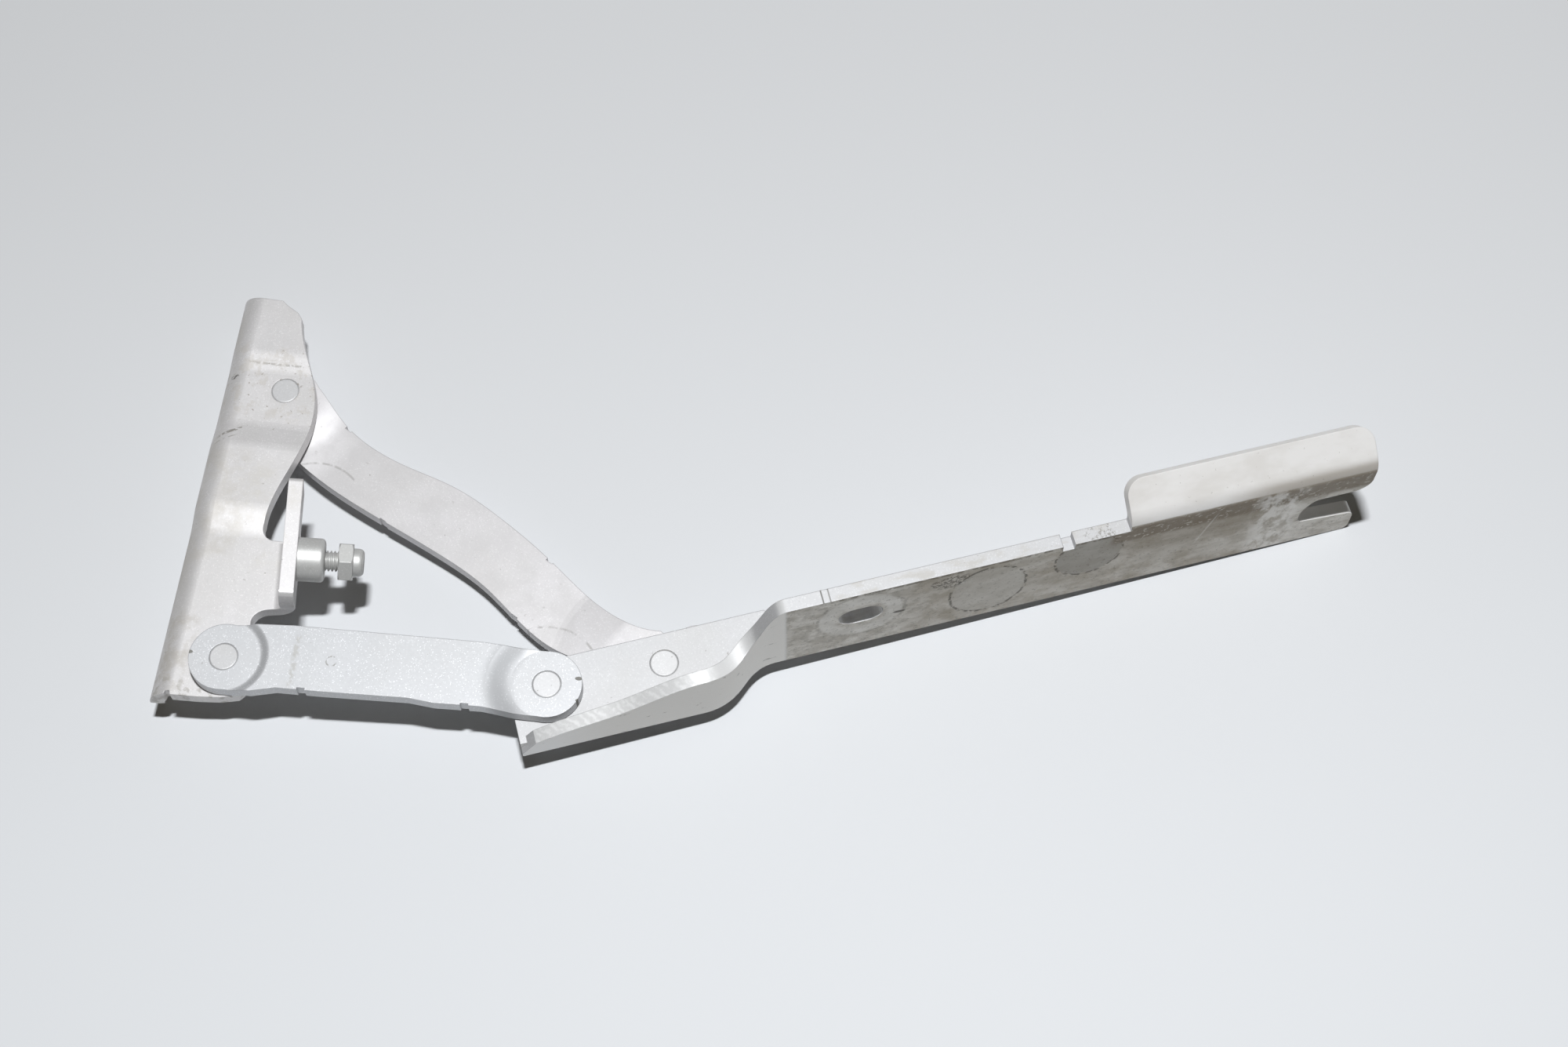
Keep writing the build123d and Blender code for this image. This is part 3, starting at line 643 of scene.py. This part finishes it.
def lower_link_wear(tree, mm):
    """Distances run from the body's pivot along the link and across it.
    The painted shade beside the pad is part of a ring round the pad, 1.02 to 1.62 pad radii from its centre."""
    at = add(tree, "SeparateXYZ", {0: mm}).outputs
    along, across = at["X"], at["Y"]
    broken = patches(tree, mm, 1.5, 0.5, 0.06)
    printed = oval(tree, along, across, (30.0, 0.8), (1.45, 1.45))
    ring = where_all(tree, band(tree, printed, 0.85, 1.1, 0.12), broken)
    rub = where_all(tree, band(tree, along, 19.0, 20.7, 0.8), band(tree, across, -7.5, 7.5, 2.0), broken)
    pad = oval(tree, along, across, (89.4, 0.0), (10.2, 10.2))
    painted_shade_by_pad = where_all(tree, band(tree, pad, 1.02, 1.62, 0.5), band(tree, along, 60.0, 83.0, 5.0))
    # The dark band beside the far pad is painted shade on the slope down to it.
    return [
        (ring, "#8e8b84", 0.6, 0.7, 0.1),
        (rub, "#b4b2ac", 0.5, 0.5, 0.1),
        (painted_shade_by_pad, "#929395", 0.6, 0.65, 0.2),
    ] + [
        (inside(tree, oval(tree, along, across, centre, (1.0, 0.55)), 0.3), "#6f6c64", 0.75, 0.8, 0.1)
        for centre in PAD_CHIPS
    ]


lower_link_paint = silver_paint("sprayed_silver_paint_on_lower_link", lower_place, "#c9cacc",
                                painted_glint=1.3, dirt=0.1, wear=lower_link_wear)

# %% [markdown]
# ## Wear on the upper link
# As the hinge moves, the edge of a pad sweeps over the upper link and draws a faint arc of 15 mm radius.
# There are two such arcs. Soft grey patches cover the link, and its end at the body is painted brighter, as
# painted light on the slope there.
# The arcs could be drawn by hand, but each is a circle about the pad's centre,
# so a thin band of an oval's distance draws it.

# %% Marks and paint of the upper link
SWEEP_CENTRES = ((115.6, -21.7), (29.4, -22.7))
SWEEP_RADII = (15.0, 15.0)


def upper_link_wear(tree, mm):
    """Distances run from the body's pivot along the link and across it. An arc lies within
    2 in 100 of the sweep's radius."""
    at = add(tree, "SeparateXYZ", {0: mm}).outputs
    along, across = at["X"], at["Y"]
    broken = patches(tree, mm, 3.5, 0.55, 0.08)
    sweeps = [oval(tree, along, across, centre, SWEEP_RADII) for centre in SWEEP_CENTRES]
    return [
        # The lighter end at the body is painted light.
        (band(tree, along, -20.0, 24.0, 10.0), "#eae8e9", 0.5, 0.5, 0.5),
        (patches(tree, mm, 9.0, 0.4, 0.12), "#c0bebe", 0.56, 0.35, 0.4),
        (patches(tree, mm, 2.4, -0.2, 0.03), "#a5a29f", 0.6, 0.4, 0.1),
    ] + [
        (where_all(tree, band(tree, sweep, 0.98, 1.02, 0.03), broken), "#a09e9b", 0.55, 0.6, 0.1)
        for sweep in sweeps
    ]


upper_link_paint = silver_paint("sprayed_silver_paint_on_upper_link", upper_place, "#cfcdce",
                                wear=upper_link_wear)

# %% [markdown]
# ## Dress the pieces
# Each solid piece says in its record what it is made of, by the name of a slot.
# Materials could be given piece by piece, but the hinge has four rivets, washers and bushes alike,
# so a table from slot to material dresses all of them in one loop.

# %% Finishes of all pieces
finishes = {
    "bracket_paint": bracket_paint,
    "upper_link_paint": upper_link_paint,
    "lower_link_paint": lower_link_paint,
    "arm_paint": arm_paint,
    "rivet_paint": rivet_paint,
    "stop_paint": stop_paint,
    "washer_steel": washer_steel,
    "bush_liner": bush_bronze,
    "insert_plastic": insert_nylon,
}
for part in frame["record"]["subparts"]:
    node = frame["nodes"][part["node"]]
    node.data.materials.clear()
    node.data.materials.append(finishes[part["material_slot"]])
print("finishes:", len(finishes))

# %% [markdown]
# ## The screw's thread
# The stop screw is an M6 screw, so its thread climbs 1 mm in each turn. The crest stays inside the plain
# cylinder that it replaces, so the thread is a little shallower than a new one.
# A thread could be a profile swept along a helix, and its turns would have to be joined.
# It is simpler as one surface of two parameters, the angle round the screw and the distance along it,
# where only the radius changes.

# %% Radius of the thread
THREAD_PITCH = 1.0
CREST = 2.88
ROOT = 2.34
RUN_OUT = 0.6


def thread_radius(s, angle, low, high):
    """Radius = root + (crest - root) x ridge x fade.
    Ridge = 1.5 - 4 |f - 1/2|, kept between 0 and 1, where f is the fraction of s / pitch - angle / 2 pi.
    Fade = the distance to the nearer end divided by the run-out, kept between 0 and 1."""
    fraction = np.mod(s / THREAD_PITCH - angle / (2 * np.pi), 1.0)
    ridge = np.clip(1.5 - 4 * np.abs(fraction - 0.5), 0, 1)
    fade = np.clip(np.minimum(s - low, high - s) / RUN_OUT, 0, 1)
    return ROOT + (CREST - ROOT) * ridge * fade


print("depth of the thread in mm:", round(CREST - ROOT, 2))

# %% [markdown]
# ## The screw's surface
# The screw stands at a slant, so its rings are laid round its own axis.
# Blender could turn an upright screw, but the exporter wants each new piece at the origin, unturned,
# so the place and the slant go straight into the points.
# The rings are joined by quads, and a fan of triangles closes each end.

# %% Points and faces of the screw
STEPS_ROUND = 56
RINGS_PER_MM = 14
SCREW_START = (25.51, -34.95, 23.13)
SCREW_AXIS = (0.95845, -0.24075, -0.15299)


def screw_points(start, axis, low, high):
    """Point = start + s x axis + radius x (cos(angle) x side + sin(angle) x up), for rings at each s."""
    rings = np.linspace(low, high, int((high - low) * RINGS_PER_MM) + 1)
    s, angle = np.meshgrid(rings, np.arange(STEPS_ROUND) * 2 * np.pi / STEPS_ROUND, indexing="ij")
    axis = np.array(axis) / np.linalg.norm(axis)
    side = np.cross(axis, (0, 0, 1.0))
    side /= np.linalg.norm(side)
    up = np.cross(axis, side)
    outwards = np.cos(angle)[..., None] * side + np.sin(angle)[..., None] * up
    return np.array(start) + s[..., None] * axis + thread_radius(s, angle, low, high)[..., None] * outwards


def screw_faces(rings, steps):
    """Points are numbered ring by ring, then the two end centres. A quad takes two neighbours of a ring
    and the two behind them; a triangle takes two neighbours of an end ring and its centre."""
    number = np.arange(rings * steps).reshape(rings, steps)
    near, far = number[:-1], number[1:]
    quads = np.stack([near, np.roll(near, -1, 1), np.roll(far, -1, 1), far], -1).reshape(-1, 4)
    first, last = number[0], number[-1]
    tail_fan = np.c_[np.roll(first, -1), first, np.full(steps, rings * steps)]
    tip_fan = np.c_[last, np.roll(last, -1), np.full(steps, rings * steps + 1)]
    return quads, np.r_[tail_fan, tip_fan]


points = screw_points(SCREW_START, SCREW_AXIS, low=-3.9, high=17.4)
quads, fans = screw_faces(*points.shape[:2])
print("rings:", len(points), "quads:", len(quads), "triangles:", len(fans))

# %% [markdown]
# ## The screw in place
# The new screw takes the place of the plain cylinder in the frame and moves with the body's side.
# It gets the material of the stop_paint slot, the same paint as the stop.

# %% Make the screw
screw_mesh = bpy.data.meshes.new("threaded_screw")
end_centres = points[[0, -1]].mean(axis=1)
all_points = np.r_[points.reshape(-1, 3), end_centres] * MM
screw_mesh.from_pydata(all_points.tolist(), [], quads.tolist() + fans.tolist())
smooth = np.r_[np.ones(len(quads), bool), np.zeros(len(fans), bool)]
screw_mesh.polygons.foreach_set("use_smooth", smooth)
screw = bpy.data.objects.new("threaded_screw", screw_mesh)
bpy.context.collection.objects.link(screw)
screw.data.materials.append(finishes["stop_paint"])
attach(screw, "body_side")
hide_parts("stop_screw")
print("thread faces:", len(screw_mesh.polygons))

# %% [markdown]
# ## The table
# The hinge rests on the lower edge of its bracket's flange and on the far end of its arm, which lie
# at two heights. The hinge could be tilted until both touch a level table, but the pieces of the frame
# stay where they are, so the table is tilted to meet them.

# %% Table
TABLE_SIZE = 6.0
flange_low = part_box("body_bracket")[0].z
arm_box_low, arm_box_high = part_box("bonnet_arm")
across_bracket = Vector((math.cos(BRACKET_ANGLE), math.sin(BRACKET_ANGLE), 0))
arm_reach = Vector((arm_box_high.x, arm_box_low.y, arm_box_low.z)).dot(across_bracket)
slope = (arm_box_low.z - flange_low) / arm_reach


def table_sheet(size):
    """A square sheet. Height = the flange's lowest edge + slope x distance across that edge."""
    corners = np.array([(-1, -1), (1, -1), (1, 1), (-1, 1)], float) * size / 2
    height = flange_low + slope * (corners @ np.array(across_bracket.xy))
    mesh = bpy.data.meshes.new("table")
    mesh.from_pydata(np.c_[corners, height].tolist(), [], [(0, 1, 2, 3)])
    sheet = bpy.data.objects.new("table", mesh)
    bpy.context.collection.objects.link(sheet)
    return sheet


table = table_sheet(TABLE_SIZE)
print("table slope in degrees:", round(math.degrees(math.atan(slope)), 2))

# %% [markdown]
# ## Pressed laminate
# The table top is a pale laminate, paper and resin pressed to a smooth hard sheet.
# To the eye it is an even near-white with a faint wide sheen. It could be one flat colour,
# but it gets a little greyer away from the camera, where less of the lamp's light falls, so a painted shade
# changes its colour over 360 mm.

# %% Laminate on the table
CAMERA_AZIMUTH = math.radians(-14.4)
SHADE_FROM = -170.0
SHADE_TO = 190.0
hinge_centre = Vector((0.16, -0.05, 0.01))


def pressed_laminate(name, near, far):
    """Colour goes smoothly from near to far with the distance from the hinge, away from the camera: a painted
    shade for the light that falls off.
    """
    m, tree, out = material(name)
    mm = measured(tree, (hinge_centre, CAMERA_AZIMUTH))
    away = add(tree, "SeparateXYZ", {0: mm}).outputs["Y"]
    share = add(tree, "MapRange", {0: away, 1: SHADE_FROM, 2: SHADE_TO}, interpolation_type="SMOOTHSTEP")
    # The mix from near to far is a painted shade for the lamp's light falling off.
    painted_falloff_shade = add(tree, "Mix", {0: share, 6: colour(near), 7: colour(far)}, data_type="RGBA")
    surface = add(tree, "BsdfPrincipled", {"Base Color": painted_falloff_shade, "Roughness": 0.6, "Specular IOR Level": 0.3})
    tree.links.new(surface.outputs[0], out.inputs[0])
    return m


table.data.materials.append(pressed_laminate("pressed_laminate", "#e4e6e9", "#d7d8da"))
print("table material:", table.data.materials[0].name)

# %% [markdown]
# ## The lamp
# The shadows are short and have fairly sharp edges, so the light is small and almost straight above.
# A sun lamp would give the same direction, but its strength is even over the whole table.
# A small area lamp 1.3 m up is brighter below itself, as here, and softens the shadows a little.

# %% Overhead lamp
lamp_data = bpy.data.lights.new("overhead", "AREA")
lamp_data.shape = "RECTANGLE"
lamp_data.size = 0.11
lamp_data.size_y = 0.05
lamp_data.energy = 16.9
lamp_data.color = colour("#fbfdff")[:3]
lamp = bpy.data.objects.new("overhead", lamp_data)
lamp.location = hinge_centre + Vector((-0.01, -0.074, 1.3))
lamp.rotation_euler = (hinge_centre - lamp.location).to_track_quat("-Z", "Y").to_euler()
bpy.context.collection.objects.link(lamp)
print("lamp's height in m:", round(lamp.location.z, 2))

# %% [markdown]
# ## The room
# A white room throws some light into the shadows, and it is mirrored in metal and paint.
# One plain world colour does both, but if it is strong enough for the reflections, the shadows are too pale.
# The Light Path node tells the two uses apart: light that fills shadows is warm and faint,
# and what the camera and the metal see is pale.

# %% World
world = bpy.data.worlds.new("pale_room")
bpy.context.scene.world = world
world.use_nodes = True
room = world.node_tree
path = add(room, "LightPath").outputs
mirrored = add(room, "Math", {0: path["Is Camera Ray"], 1: path["Is Glossy Ray"]}, operation="MAXIMUM")
looked_at = add(room, "Math", {0: mirrored, 1: path["Is Transmission Ray"]}, operation="MAXIMUM")
shade = add(room, "Mix", {0: looked_at, 6: colour("#ffeab0"), 7: colour("#f2f3f5")}, data_type="RGBA")
strength = add(room, "MapRange", {0: looked_at, 3: 0.03, 4: 0.38})
background = room.nodes["Background"]
room.links.new(shade.outputs[2], background.inputs[0])
room.links.new(strength.outputs[0], background.inputs[1])
print("nodes in the world:", len(room.nodes))

# %% [markdown]
# ## The camera
# The picture looks down on the table from in front, turned a little to one side:
# the camera is 64 degrees above the table, turned 14.4 degrees about the vertical, and 0.71 m away.
# A longer lens from further off would flatten the flange, so lens and distance belong together.
# The Standard view shows the colours as they are, without a film curve.

# %% Camera
CAMERA_ELEVATION = math.radians(64)
CAMERA_DISTANCE = 0.7143
target = Vector((160.2, -51.1, 9.0)) * MM
back = Vector((
    math.sin(CAMERA_AZIMUTH) * math.cos(CAMERA_ELEVATION),
    -math.cos(CAMERA_AZIMUTH) * math.cos(CAMERA_ELEVATION),
    math.sin(CAMERA_ELEVATION),
))
camera_data = bpy.data.cameras.new("camera")
camera_data.sensor_width = 36.0
camera_data.lens = 57.6
camera_data.clip_start = 0.05
camera_data.clip_end = 20.0
camera = bpy.data.objects.new("camera", camera_data)
camera.location = target + back * CAMERA_DISTANCE
camera.rotation_euler = back.to_track_quat("Z", "Y").to_euler()
bpy.context.collection.objects.link(camera)
bpy.context.scene.camera = camera
bpy.context.scene.view_settings.view_transform = "Standard"
view_width = CAMERA_DISTANCE * camera_data.sensor_width / camera_data.lens
print("picture width at the hinge in mm:", round(view_width / MM))
